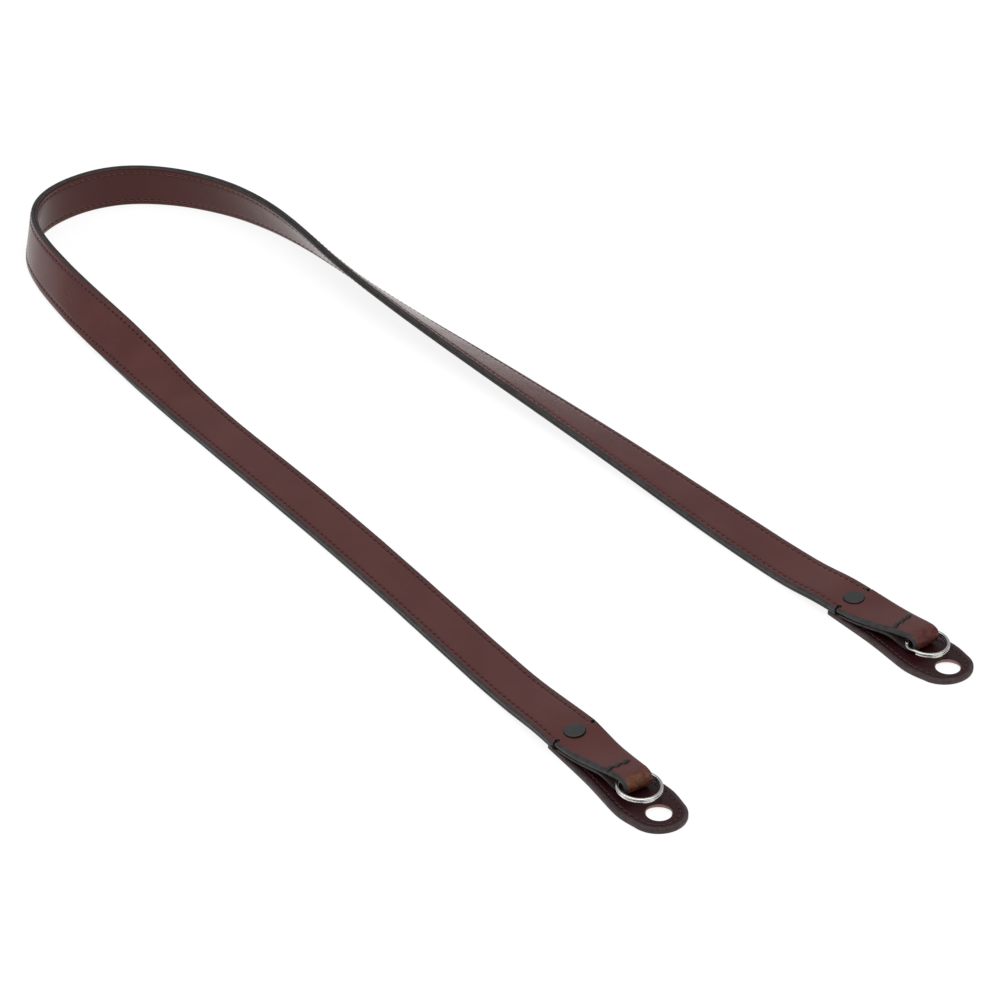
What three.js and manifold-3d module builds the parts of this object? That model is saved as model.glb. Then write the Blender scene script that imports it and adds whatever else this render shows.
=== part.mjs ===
// Camera neck strap: a two-ply leather band that lies in a long U, with a split ring held in a
// folded tongue and a round-ended protector flap snapped under each end.
// Millimetres, +Z up, the floor at z = 0. The U opens towards +X, its left branch lies at -Y and
// its right branch at +Y.

import * as THREE from 'three';
import { mergeVertices } from 'three/addons/utils/BufferGeometryUtils.js';
import Module from 'manifold-3d';

const wasm = await Module();
wasm.setup();

// Driving dimensions of the leather
const BAND_WIDTH = 18.4;
const OUTER_PLY = 1.5;
const LINING_PLY = 1.2;
const PLY_GAP = 0.3;
const EDGE_BEVEL = 0.4;

// Side notches that end the sewn band, on both edges at each snap: a narrow slot to a round hole
const NOTCH_WIDTH = 1.8;
const NOTCH_SLOT_WIDTH = 1.1;
const NOTCH_DEPTH = 2.8;

// Protector flap, measured along its own axis from the snap
const FLAP_THICKNESS = 1.8;
const FLAP_HOLE_AT = 47.8;
const FLAP_HOLE_RADIUS = 4.3;
const FLAP_TIP_CENTRE = 47;
const FLAP_CORNER = 1;

// Split ring: flat wire with chamfered edges wound twice, its coils crossing over a short step
const RING_OUTER_RADIUS = 7.9;
const WIRE_WIDTH = 1.1;
const WIRE_THICKNESS = 0.85;
const WIRE_CHAMFER = 0.25;
const COIL_PITCH = 0.97;
const COIL_STEP = 0.26;
const COIL_END = 0.34;
const RING_AT = 36;
const RING_HEIGHT = 4.95;
const RING_TILT = 4;

// Snap: a dished cap in a shallow recess of the grain face, a post, and a foot let into the
// flap's underside. Cap and recess are measured from the middle of the outer ply, square to it,
// and the foot from the ground.
const CAP_RADIUS = 3.65;
const CAP_BASE = 0.45;
const CAP_TOP = 1.1;
const CAP_EDGE = 0.2;
const CAP_RIM = 0.6;
const CAP_DISH = 2.6;
const CAP_DISH_DEPTH = 0.2;
const RECESS_FLOOR = 0.2;
const POST_RADIUS = 1.3;
const FOOT_RADIUS = 2.4;
const FOOT_BASE = 0.3;
const FOOT_TOP = 0.65;
const SNAP_CLEARANCE = 0.3;

// Fineness: steps between rows of the tables, sides of round cuts, stations round the ring,
// height of the cuts and the distance within which corners are one
const BAND_STEPS = 6;
const TONGUE_STEPS = 5;
const FLAP_STEPS = 5;
const ARC_SEGMENTS = 14;
const ROUND_SIDES = 20;
const RING_STATIONS = 76;
const CUT_HEIGHT = 9;
const WELD_DISTANCE = 1e-4;

// The centre of the finished strap's box, in the tables' own x and y
const LAY_CENTRE = { x: 3.7, y: -2.3 };

// How the band lies: the place of its outer edge on the floor, the lean of its width from flat
// (0) to standing on that edge (90), and the height of the edge above the floor.
// A row for each bend or change of lean, from the left end round the U to the right end.
const LAY_ROWS = [
  { x: 194.6, y: -76.8, lean: 8, lift: 2.2 },
  { x: 182, y: -76, lean: 3, lift: 2.25 },
  { x: 168, y: -75, lean: 2, lift: 0.8 },
  { x: 150, y: -73.9, lean: 0, lift: 0 },
  { x: 100, y: -70, lean: 0, lift: 0 },
  { x: 50, y: -67, lean: 2, lift: 0 },
  { x: 0, y: -65.1, lean: 4, lift: 0 },
  { x: -50, y: -63.9, lean: 0, lift: 0 },
  { x: -100, y: -61.8, lean: 8, lift: 0 },
  { x: -145, y: -57.2, lean: 50, lift: 0 },
  { x: -184.5, y: -51.4, lean: 64, lift: 0 },
  { x: -217.5, y: -42.6, lean: 78, lift: 0 },
  { x: -237, y: -25.2, lean: 86, lift: 0 },
  { x: -243.5, y: -2.5, lean: 86, lift: 0 },
  { x: -240, y: 18.6, lean: 85, lift: 0 },
  { x: -223, y: 37.6, lean: 81, lift: 0 },
  { x: -195, y: 52.5, lean: 73, lift: 0 },
  { x: -160, y: 57.9, lean: 62, lift: 0 },
  { x: -125, y: 58.3, lean: 47, lift: 0 },
  { x: -85, y: 59.8, lean: 37, lift: 0 },
  { x: -40, y: 63.6, lean: 25, lift: 0 },
  { x: 10, y: 66.5, lean: 17, lift: 0 },
  { x: 60, y: 69, lean: 9, lift: 0 },
  { x: 110, y: 69.9, lean: 1, lift: 0 },
  { x: 145, y: 70.4, lean: -1.5, lift: 0.5 },
  { x: 163, y: 70.7, lean: -2.5, lift: 1.1 },
  { x: 175, y: 70.9, lean: -3, lift: 3.25 },
  { x: 186.7, y: 71.4, lean: -3, lift: 3.2 },
];

// The tongue of the outer ply beyond the snap, along its path up, round the ring and back:
// distance from the snap, height of the ply's middle where it lies level, half width, thickness,
// and the share of the end's own lean, which lifts the +Y edge and leaves the other as it is.
const TONGUE_ROWS = [
  { along: 0, height: 4.6, half: 9.1, thick: 1.5, share: 1 },
  { along: 8, height: 4.9, half: 9, thick: 1.5, share: 0.35 },
  { along: 16, height: 5.8, half: 8, thick: 1.5, share: 0 },
  { along: 24.5, height: 7.1, half: 6.8, thick: 1.5, share: 0 },
  { along: 29, height: 7.8, half: 6.3, thick: 1.5, share: 0 },
  { along: 33.4, height: 8.3, half: 6, thick: 1.5, share: 0 },
  { along: 35.6, height: 7, half: 5.95, thick: 1.5, share: 0 },
  { along: 35.6, height: 4.2, half: 5.95, thick: 1.5, share: 0 },
  { along: 33.4, height: 2.85, half: 6, thick: 1.5, share: 0 },
  { along: 28.5, height: 3, half: 6.3, thick: 1.5, share: 0 },
  { along: 24, height: 5.4, half: 6.8, thick: 1.5, share: 0 },
  { along: 16, height: 3.98, half: 7.9, thick: 1.4, share: 0 },
  { along: 8, height: 3, half: 8.7, thick: 1.2, share: 0.35 },
  { along: 1.4, height: 2.58, half: 8.8, thick: 1.1, share: 0.9 },
];

// Half width of the flap before its round tip, by distance from the snap
const FLAP_ROWS = [
  { along: -5, half: 8 },
  { along: 4, half: 8.4 },
  { along: 13, half: 8.8 },
  { along: 20, half: 9.2 },
  { along: 27, half: 10 },
  { along: 34, half: 10.9 },
  { along: 41, half: 11.7 },
  { along: 48.2, half: 10.1 },
];

// The two ends of the band. At each: the lean of the width at the snap, the headings of tongue
// and flap, their own sizes as shares of the tables', and where the ring's wire ends lie.
const ENDS = [
  {
    side: 'left',
    atStart: true,
    lean: 8,
    tongueHeading: -1,
    tongueWidth: 0.96,
    flapHeading: -1.9,
    flapLength: 1,
    flapWidth: 1,
    wireEndAt: 160,
  },
  {
    side: 'right',
    atStart: false,
    lean: 3,
    tongueHeading: 4.5,
    tongueWidth: 1,
    flapHeading: 2.4,
    flapLength: 0.975,
    flapWidth: 1.05,
    wireEndAt: -97,
  },
];

// Every column of a table along one smooth curve, a cubic B-spline through its two end rows
function smoothRows(rows, steps) {
  const columns = Object.keys(rows[0]);
  const mirror = (end, next) =>
    Object.fromEntries(columns.map((key) => [key, 2 * end[key] - next[key]]));
  const last = rows.length - 1;
  const control = [mirror(rows[0], rows[1]), ...rows, mirror(rows[last], rows[last - 1])];
  const samples = [];
  for (let i = 0; i <= last * steps; i += 1) {
    const span = Math.min(Math.floor(i / steps), last - 1);
    const t = i / steps - span;
    const weights = [
      (1 - t) ** 3 / 6,
      (3 * t ** 3 - 6 * t ** 2 + 4) / 6,
      (-3 * t ** 3 + 3 * t ** 2 + 3 * t + 1) / 6,
      t ** 3 / 6,
    ];
    const blend = (key) =>
      weights.reduce((sum, weight, k) => sum + weight * control[span + k][key], 0);
    samples.push(Object.fromEntries(columns.map((key) => [key, blend(key)])));
  }
  return samples;
}

// Direction of travel at each sample of a plane curve
function headings(samples, first, second) {
  return samples.map((sample, i) => {
    const before = samples[Math.max(i - 1, 0)];
    const after = samples[Math.min(i + 1, samples.length - 1)];
    const travel = new THREE.Vector2(after[first] - before[first], after[second] - before[second]);
    return travel.normalize();
  });
}

// Frames of the band: a point on the outer edge at the lining's face, the way across the width
// towards the inside of the U, and the way out of the grain face
function bandFrames() {
  const samples = smoothRows(LAY_ROWS, BAND_STEPS);
  const travel = headings(samples, 'x', 'y');
  return samples.map((sample, i) => {
    const lean = THREE.MathUtils.degToRad(sample.lean);
    const inward = new THREE.Vector3(travel[i].y, -travel[i].x, 0);
    const across = inward.clone().multiplyScalar(Math.cos(lean)).setZ(Math.sin(lean));
    const out = inward.clone().multiplyScalar(-Math.sin(lean)).setZ(Math.cos(lean));
    const edge = new THREE.Vector3(sample.x - LAY_CENTRE.x, sample.y - LAY_CENTRE.y, sample.lift);
    return { edge, across, out };
  });
}

// A closed body through a run of convex sections, each a loop of corners in the same order.
// Each four-sided face is split along its shorter diagonal.
function sweptBody(sections) {
  const corners = sections[0].length;
  const points = sections.flat();
  const positions = points.flatMap((point) => point.toArray());
  const faces = [];
  for (let i = 0; i < sections.length - 1; i += 1) {
    for (let k = 0; k < corners; k += 1) {
      const a = i * corners + k;
      const b = i * corners + (k + 1) % corners;
      const c = b + corners;
      const d = a + corners;
      if (points[a].distanceTo(points[c]) < points[b].distanceTo(points[d])) {
        faces.push(a, c, b, a, d, c);
      } else {
        faces.push(a, d, b, b, d, c);
      }
    }
  }
  const end = (sections.length - 1) * corners;
  for (let k = 1; k < corners - 1; k += 1) {
    faces.push(0, k, k + 1, end, end + k + 1, end + k);
  }
  const geometry = new THREE.BufferGeometry();
  geometry.setAttribute('position', new THREE.Float32BufferAttribute(positions, 3));
  geometry.setIndex(faces);
  return geometry;
}

// Corners of one section, given across and out of the leather or wire about its middle
function placeCorners(corners, middle, across, out) {
  return corners.map(([u, v]) => middle.clone().addScaledVector(across, u).addScaledVector(out, v));
}

// Section of a strip of leather whose edges are bevelled on its top or its bottom face
function plySection(middle, across, out, half, thick, bevelOnTop) {
  const low = -thick / 2;
  const high = thick / 2;
  const inset = half - EDGE_BEVEL;
  const topBevelled = [
    [-half, low],
    [half, low],
    [half, high - EDGE_BEVEL],
    [inset, high],
    [-inset, high],
    [-half, high - EDGE_BEVEL],
  ];
  const bottomBevelled = [
    [-inset, low],
    [inset, low],
    [half, low + EDGE_BEVEL],
    [half, high],
    [-half, high],
    [-half, low + EDGE_BEVEL],
  ];
  return placeCorners(bevelOnTop ? topBevelled : bottomBevelled, middle, across, out);
}

// A solid that can be cut, from a closed geometry without its slivers of no width, and back again
function toSolid(geometry) {
  const bare = geometry.clone();
  bare.deleteAttribute('normal');
  bare.deleteAttribute('uv');
  const merged = mergeVertices(bare, WELD_DISTANCE);
  const vertProperties = new Float32Array(merged.attributes.position.array);
  const corners = Array.from(merged.index.array);
  const triVerts = new Uint32Array(corners.filter((corner, i) => {
    const first = i - i % 3;
    return new Set(corners.slice(first, first + 3)).size === 3;
  }));
  return new wasm.Manifold(new wasm.Mesh({ numProp: 3, vertProperties, triVerts }));
}

function toGeometry(solid) {
  const mesh = solid.getMesh();
  const geometry = new THREE.BufferGeometry();
  geometry.setAttribute('position', new THREE.Float32BufferAttribute(mesh.vertProperties, 3));
  geometry.setIndex(Array.from(mesh.triVerts));
  return geometry;
}

// A geometry with every cutter taken out of it
function cutAll(geometry, cutters) {
  const whole = toSolid(geometry);
  return toGeometry(cutters.reduce((solid, cutter) => solid.subtract(toSolid(cutter)), whole));
}

// A frame on the floor under one end's snap: x runs out along the heading, y across, z up
function endFrame(end, frames, heading) {
  const { edge, across } = frames[end.atStart ? 0 : frames.length - 1];
  const snap = edge.clone().addScaledVector(across, BAND_WIDTH / 2).setZ(0);
  return new THREE.Matrix4().makeRotationZ(THREE.MathUtils.degToRad(heading)).setPosition(snap);
}

// The middle of the outer ply at one end's snap, in the end's own frame: z is square to the leather
function seatOf(end) {
  const lean = THREE.MathUtils.degToRad(end.lean);
  const height = TONGUE_ROWS[0].height + Math.sin(lean) * BAND_WIDTH / 2;
  return new THREE.Matrix4().makeRotationX(lean).setPosition(0, 0, height);
}

// Sections of one tongue from the snap round the ring and back. Its width runs the way that
// meets the band's own sections corner to corner.
function tongueSections(end, place) {
  const samples = smoothRows(TONGUE_ROWS, TONGUE_STEPS);
  const travel = headings(samples, 'along', 'height');
  return samples.map((sample, i) => {
    const lean = THREE.MathUtils.degToRad(end.lean * sample.share);
    const height = sample.height + Math.sin(lean) * BAND_WIDTH / 2;
    const middle = new THREE.Vector3(sample.along, 0, height).applyMatrix4(place);
    const path = new THREE.Vector3(travel[i].x, 0, travel[i].y).transformDirection(place);
    const far = new THREE.Vector3(0, Math.cos(lean), Math.sin(lean)).transformDirection(place);
    const out = path.clone().cross(far).normalize();
    const across = far.multiplyScalar(end.atStart ? 1 : -1);
    const half = sample.half * end.tongueWidth;
    return plySection(middle, across, out, half, sample.thick, true);
  });
}

// Cutters at one snap: a notch from each edge, and the post's hole
function endCutters(place) {
  const notches = [-1, 1].flatMap((side) => {
    const inner = side * (BAND_WIDTH / 2 - NOTCH_DEPTH + NOTCH_WIDTH / 2);
    const slot = new THREE.BoxGeometry(NOTCH_SLOT_WIDTH, 2 * NOTCH_DEPTH, CUT_HEIGHT);
    slot.translate(0, inner + side * NOTCH_DEPTH, CUT_HEIGHT / 2);
    return [slot, roundCutter(NOTCH_WIDTH / 2, 0, CUT_HEIGHT).translate(0, inner, 0)];
  });
  const post = roundCutter(POST_RADIUS + SNAP_CLEARANCE, 0, CUT_HEIGHT);
  return [...notches, post].map((cutter) => cutter.applyMatrix4(place));
}

// An upright round cutter between two heights
function roundCutter(radius, from, to) {
  const cutter = new THREE.CylinderGeometry(radius, radius, to - from, ROUND_SIDES);
  return cutter.rotateX(Math.PI / 2).translate(0, 0, (from + to) / 2);
}

// The outer ply: the band's grain layer, running on into both tongues
function outerPly(frames, places) {
  const offset = LINING_PLY + PLY_GAP + OUTER_PLY / 2;
  const half = BAND_WIDTH / 2;
  const band = frames.slice(1, -1).map(({ edge, across, out }) => {
    const middle = edge.clone().addScaledVector(across, half).addScaledVector(out, offset);
    return plySection(middle, across, out, half, OUTER_PLY, true);
  });
  const left = tongueSections(ENDS[0], places[0]).reverse();
  const right = tongueSections(ENDS[1], places[1]);
  const recesses = ENDS.map((end, i) => {
    const recess = roundCutter(CAP_RADIUS + SNAP_CLEARANCE, RECESS_FLOOR, CUT_HEIGHT);
    return recess.applyMatrix4(seatOf(end)).applyMatrix4(places[i]);
  });
  const cutters = [...places.flatMap(endCutters), ...recesses];
  return cutAll(sweptBody([...left, ...band, ...right]), cutters);
}

// The lining ply under the band, which stops at the notches
function liningPly(frames, places) {
  const half = BAND_WIDTH / 2;
  const sections = frames.map(({ edge, across, out }) => {
    const middle = edge.clone().addScaledVector(across, half).addScaledVector(out, LINING_PLY / 2);
    return plySection(middle, across, out, half, LINING_PLY, false);
  });
  return cutAll(sweptBody(sections), places.flatMap(endCutters));
}

// A protector flap: straight-headed, widening to a round tip with a round hole in it
function flapGeometry({ flapLength, flapWidth }) {
  const sized = ({ along, half }) => ({ along: along * flapLength, half: half * flapWidth });
  const { along: head, half } = sized(FLAP_ROWS[0]);
  const { along: tip, half: tipHalf } = FLAP_ROWS.at(-1);
  const tipRadius = Math.hypot(tip - FLAP_TIP_CENTRE, tipHalf);
  const tipAngle = Math.atan2(tipHalf, tip - FLAP_TIP_CENTRE);
  const tipSize = [tipRadius * flapLength, tipRadius * flapWidth];
  const rows = smoothRows(FLAP_ROWS, FLAP_STEPS).map(sized);
  const side = rows.filter(({ along }) => along > head + FLAP_CORNER);
  const outline = new THREE.Shape();
  outline.moveTo(head, FLAP_CORNER - half);
  outline.quadraticCurveTo(head, -half, head + FLAP_CORNER, -half);
  side.forEach((row) => outline.lineTo(row.along, -row.half));
  outline.absellipse(FLAP_TIP_CENTRE * flapLength, 0, ...tipSize, -tipAngle, tipAngle, false);
  side.reverse().forEach((row) => outline.lineTo(row.along, row.half));
  outline.lineTo(head + FLAP_CORNER, half);
  outline.quadraticCurveTo(head, half, head, half - FLAP_CORNER);
  outline.closePath();
  const hole = new THREE.Path();
  hole.absarc(FLAP_HOLE_AT, 0, FLAP_HOLE_RADIUS, 0, 2 * Math.PI, true);
  outline.holes.push(hole);
  const shape = { depth: FLAP_THICKNESS, bevelEnabled: false, curveSegments: ARC_SEGMENTS };
  const pocket = roundCutter(FOOT_RADIUS + SNAP_CLEARANCE, -FOOT_TOP, FOOT_TOP + SNAP_CLEARANCE);
  const post = roundCutter(POST_RADIUS + SNAP_CLEARANCE, 0, CUT_HEIGHT);
  return cutAll(new THREE.ExtrudeGeometry(outline, shape), [pocket, post]);
}

// A split ring of two coils, stepping from the lower to the upper where its two ends lie
function ringGeometry() {
  const radius = RING_OUTER_RADIUS - WIRE_WIDTH / 2;
  const half = WIRE_WIDTH / 2;
  const flat = half - WIRE_CHAMFER;
  const thin = WIRE_THICKNESS / 2;
  const corners = [[-half, 0], [-flat, -thin], [flat, -thin], [half, 0], [flat, thin], [-flat, thin]];
  const up = new THREE.Vector3(0, 0, 1);
  const turn = 2 * Math.PI;
  const sections = [];
  for (let i = 0; i <= RING_STATIONS; i += 1) {
    const angle = COIL_END + (2 * turn - 2 * COIL_END) * i / RING_STATIONS;
    const rise = THREE.MathUtils.smoothstep(angle, turn - COIL_STEP, turn + COIL_STEP);
    const outward = new THREE.Vector3(Math.cos(angle), Math.sin(angle), 0);
    const middle = outward.clone().multiplyScalar(radius).setZ((rise - 0.5) * COIL_PITCH);
    sections.push(placeCorners(corners, middle, outward, up));
  }
  return sweptBody(sections);
}

// A body turned about z, from its lowest point on the axis out and up to its highest
function turned(profile) {
  const points = profile.map(([radius, height]) => new THREE.Vector2(radius, height));
  return new THREE.LatheGeometry(points, ROUND_SIDES).rotateX(Math.PI / 2);
}

// A snap: an upright foot and post, and a cap that lies with the leather
function snapGeometry(seat) {
  const cap = turned([
    [0, CAP_BASE],
    [CAP_RADIUS - CAP_EDGE, CAP_BASE],
    [CAP_RADIUS, CAP_BASE + CAP_EDGE],
    [CAP_RADIUS - CAP_EDGE, CAP_TOP - CAP_EDGE],
    [CAP_RADIUS - CAP_RIM, CAP_TOP],
    [CAP_DISH, CAP_TOP - CAP_DISH_DEPTH / 2],
    [0, CAP_TOP - CAP_DISH_DEPTH],
  ]);
  const postTop = new THREE.Vector3(0, 0, CAP_BASE + CAP_EDGE).applyMatrix4(seat).z;
  const stem = turned([
    [0, FOOT_BASE],
    [FOOT_RADIUS, FOOT_BASE],
    [FOOT_RADIUS, FOOT_TOP],
    [POST_RADIUS, FOOT_TOP],
    [POST_RADIUS, postTop],
    [0, postTop],
  ]);
  return toGeometry(toSolid(stem).add(toSolid(cap.applyMatrix4(seat))));
}

// Materials
const grain = new THREE.MeshStandardMaterial({ color: 0x5e3c3c, roughness: 0.42, metalness: 0 });
const lining = new THREE.MeshStandardMaterial({ color: 0x4b2d2d, roughness: 0.6, metalness: 0 });
const flapLeather = new THREE.MeshStandardMaterial({ color: 0x3c1419, roughness: 0.35, metalness: 0 });
const steel = new THREE.MeshStandardMaterial({ color: 0xd8d8d6, roughness: 0.15, metalness: 1 });
const darkMetal = new THREE.MeshStandardMaterial({ color: 0x3a3e3d, roughness: 0.4, metalness: 0.6 });

function named(name, geometry, material) {
  const mesh = new THREE.Mesh(geometry, material);
  mesh.name = name;
  return mesh;
}

const frames = bandFrames();
const places = ENDS.map((end) => endFrame(end, frames, end.tongueHeading));

const strap = new THREE.Group();
strap.add(named('strap_outer', outerPly(frames, places), grain));
strap.add(named('strap_lining', liningPly(frames, places), lining));

ENDS.forEach((end, i) => {
  const flap = named(`flap_${end.side}`, flapGeometry(end), flapLeather);
  flap.applyMatrix4(endFrame(end, frames, end.flapHeading));
  const ring = named(`ring_${end.side}`, ringGeometry(), steel);
  const tilt = THREE.MathUtils.degToRad(RING_TILT);
  ring.position.set(RING_AT, 0, RING_HEIGHT);
  ring.rotation.set(0, tilt, THREE.MathUtils.degToRad(end.wireEndAt), 'YXZ');
  const metal = new THREE.Group();
  metal.applyMatrix4(places[i]);
  metal.add(ring, named(`snap_${end.side}`, snapGeometry(seatOf(end)), darkMetal));
  strap.add(flap, metal);
});

export default strap;
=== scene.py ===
"""Looks of the camera neck strap: stitched two-ply leather, protector flaps, split rings, snaps.

The strap lies in a long U. +X runs from its bend towards its two ends, +Y from the left branch to
the right one, +Z up. Sizes are in millimetres, and only the stage and the camera are in metres.
"""

import math

import bmesh
import bpy
import numpy as np
from mathutils import Matrix, Vector, noise
from mathutils.geometry import delaunay_2d_cdt


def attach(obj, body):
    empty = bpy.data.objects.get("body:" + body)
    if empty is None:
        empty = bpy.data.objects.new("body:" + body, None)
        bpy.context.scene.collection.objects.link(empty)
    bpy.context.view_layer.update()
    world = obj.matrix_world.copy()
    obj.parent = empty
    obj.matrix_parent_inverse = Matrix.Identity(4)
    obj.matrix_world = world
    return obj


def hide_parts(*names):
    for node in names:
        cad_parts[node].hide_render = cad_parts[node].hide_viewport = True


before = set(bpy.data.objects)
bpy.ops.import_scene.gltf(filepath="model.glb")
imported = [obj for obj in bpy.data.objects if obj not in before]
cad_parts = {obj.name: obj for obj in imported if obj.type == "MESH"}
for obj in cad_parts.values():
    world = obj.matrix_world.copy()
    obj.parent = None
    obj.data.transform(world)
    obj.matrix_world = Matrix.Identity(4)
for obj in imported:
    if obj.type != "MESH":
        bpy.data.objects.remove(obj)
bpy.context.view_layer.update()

MM = 0.001
UP = np.array([0.0, 0.0, 1.0])

# Leather of the band: its plies meet in the middle of the gap that the solids keep
BAND_WIDTH = 18.4
OUTER_PLY = 1.5
LINING_PLY = 1.2
PLY_GAP = 0.3
PLY_MEETING = LINING_PLY + PLY_GAP / 2
BAND_THICKNESS = LINING_PLY + PLY_GAP + OUTER_PLY

# How far the edge paint reaches onto each ply's face, where the band lies flat and where it stands
OUTER_PAINT = (0.8, 0.3)
# The lining's wide reach where the band lies flat darkens its lower bevel by the floor: edge paint and
# painted shade
LINING_PAINT_AND_SHADE = (0.9, 0.1)

# Stitching: how far in from the edge, the distance between stitches, the thread's radius and rise,
# its reach either way as a share of that distance, and how far it lies above its groove's floor
STITCH_INSET = 2.3
STITCH_PITCH = 2.9
STITCH_RADIUS = 0.22
STITCH_RISE = 0.1
STITCH_REACH = 0.36
STITCH_PROUD = 0.04
UNSEWN_STATIONS = 2
FLAP_STITCH_INSET = 2.7
FLAP_STITCH_PITCH = 2.6
FLAP_STITCH_RADIUS = 0.25

# Bar tack: a few thick, slanting stitches, and how far their row runs past its two ends
TACK_STITCHES = 3
TACK_RADIUS = 0.74
TACK_RISE = 0.22
TACK_REACH = 0.52
TACK_SLANT = 0.22
TACK_OVERRUN = 0.04

# One stitch from end to end: its place as a share of its reach, its height as a share of its rise,
# and its radius as a share of the thread's
STITCH_ROWS = [
    (-1, -0.75, 0.55),
    (-0.86, -0.1, 0.9),
    (-0.5, 0.75, 1),
    (0, 1, 1.04),
    (0.5, 0.75, 1),
    (0.86, -0.1, 0.9),
    (1, -0.75, 0.55),
]
THREAD_FLATNESS = 0.8
REACH_UNEVEN = 0.02
RISE_UNEVEN = 0.25
SLANT_UNEVEN = 0.04

# How the band lies: the place of its outer edge, the lean of its width, its height off the floor,
# and the point of this table that is the middle of the lying strap
LAY_COLUMNS = ("x", "y", "lean", "lift")
LAY_ROWS = [
    (194.6, -76.8, 8, 2.2),
    (182, -76, 3, 2.25),
    (168, -75, 2, 0.8),
    (150, -73.9, 0, 0),
    (100, -70, 0, 0),
    (50, -67, 2, 0),
    (0, -65.1, 4, 0),
    (-50, -63.9, 0, 0),
    (-100, -61.8, 8, 0),
    (-145, -57.2, 50, 0),
    (-184.5, -51.4, 64, 0),
    (-217.5, -42.6, 78, 0),
    (-237, -25.2, 86, 0),
    (-243.5, -2.5, 86, 0),
    (-240, 18.6, 85, 0),
    (-223, 37.6, 81, 0),
    (-195, 52.5, 73, 0),
    (-160, 57.9, 62, 0),
    (-125, 58.3, 47, 0),
    (-85, 59.8, 37, 0),
    (-40, 63.6, 25, 0),
    (10, 66.5, 17, 0),
    (60, 69, 9, 0),
    (110, 69.9, 1, 0),
    (145, 70.4, -1.5, 0.5),
    (163, 70.7, -2.5, 1.1),
    (175, 70.9, -3, 3.25),
    (186.7, 71.4, -3, 3.2),
]
LAY_CENTRE = (3.7, -2.3)

# Half of a ply's face, from its edge to its middle: distance in from the edge, drop below the
# face, and share of the stitch groove
FACE_ROWS = [
    (0, 0.62, 0),
    (0.05, 0.44, 0),
    (0.15, 0.3, 0),
    (0.34, 0.18, 0),
    (0.65, 0.09, 0),
    (1.1, 0.03, 0),
    (1.65, 0, 0),
    (2.02, 0, 0.45),
    (STITCH_INSET, 0, 1),
    (2.58, 0, 0.45),
    (2.95, -0.02, 0),
    (3.9, -0.04, 0),
]
FACE_CROWN = 0.05
GROOVE_DEPTH = 0.16
GROOVE_FADE_STATIONS = 6

# The back's rounded corners, and where the paint of the edge ends on the way to them
BACK_ROUND = 0.18
BACK_BEVEL = 0.3
SIDE_SHARE = 0.8

# The tongue from the snap round the ring and back: its place along, the height of its middle where
# it lies level, half width, thickness, share of the end's own lean, how far the paint reaches onto
# its face from its edge at -Y and from the other one, and how far the leather is stretched
TONGUE_COLUMNS = ("along", "height", "half", "thick", "share", "paint", "far_paint", "stretch")
TONGUE_ROWS = [
    (0, 4.6, 9.1, 1.5, 1, 0.7, 0.5, 0),
    (8, 4.9, 9, 1.5, 0.35, 1.3, 0.5, 0),
    (16, 5.8, 8, 1.5, 0, 1.6, 0.5, 0),
    (24.5, 7.1, 6.8, 1.5, 0, 1.7, 0.5, 0),
    (29, 7.8, 6.3, 1.5, 0, 1.6, 0.5, 0),
    (33.4, 8.3, 6, 1.5, 0, 1.2, 0.5, 0.35),
    (35.6, 7, 5.95, 1.5, 0, 0.8, 0.5, 1),
    (35.6, 4.2, 5.95, 1.5, 0, 0.7, 0.5, 1),
    (33.4, 2.85, 6, 1.5, 0, 0.8, 0.5, 0.5),
    (28.5, 3, 6.3, 1.5, 0, 0.8, 0.5, 0),
    (24, 5.4, 6.8, 1.5, 0, 0.8, 0.5, 0),
    (16, 3.98, 7.9, 1.4, 0, 0.8, 0.5, 0),
    (8, 3, 8.7, 1.2, 0.35, 0.8, 0.5, 0),
    (1.4, 2.58, 8.8, 1.1, 0.9, 0.8, 0.5, 0),
]

# The tongue's height at the snap, and how many of its rows its upper side takes up
SNAP_HEIGHT = TONGUE_ROWS[0][1]
TONGUE_TOP_ROWS = 5

# Unevenness of the leather: how far its edge wanders, over what length and with what shift between
# the plies, and how deep and how long the wrinkles of the stretched leather are
WANDER = 0.09
WANDER_LENGTH = 14
WANDER_SHIFT = 3.7
WRINKLE_DEPTH = 0.16
WRINKLE_LENGTH = 1.3

# Half width of a flap before its round tip, by distance from the snap
FLAP_COLUMNS = ("along", "half")
FLAP_ROWS = [(-5, 8), (4, 8.4), (13, 8.8), (20, 9.2), (27, 10), (34, 10.9), (41, 11.7), (48.2, 10.1)]
FLAP_THICKNESS = 1.8
FLAP_TIP_CENTRE = 47
FLAP_CORNER = 1.0
SMALLEST_CORNER = 0.05
FLAP_HOLE_AT = 47.8
FLAP_HOLE_RADIUS = 4.3
FLAP_PAINT = 1.3
FLAP_CROWN = 0.04
FLAP_GROOVE_FLOOR = 1.66

# The flap's section from its foot up its side and over its face: inset from the rim and height
FLAP_SECTION = [
    (0.25, 0),
    (0.06, 0.08),
    (0, 0.3),
    (0, 1.2),
    (0.06, 1.44),
    (0.18, 1.63),
    (0.36, 1.75),
    (0.6, FLAP_THICKNESS),
    (1.0, 1.79),
    (1.12, 1.72),
    (1.24, 1.79),
    (2.1, 1.81),
    (2.45, 1.77),
    (FLAP_STITCH_INSET, FLAP_GROOVE_FLOOR),
    (2.95, 1.77),
    (3.3, FLAP_THICKNESS),
]

# The section of the flap's hole from its face down to its foot: distance out from the hole's
# radius and height. Past the rim's section, paint and stitch holes are this far away or farther.
HOLE_SECTION = [(0.6, FLAP_THICKNESS), (0.3, 1.77), (0.1, 1.66), (0, 1.45), (0.9, 0.2), (1.1, 0)]
PLAIN_INSET = 4

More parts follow.
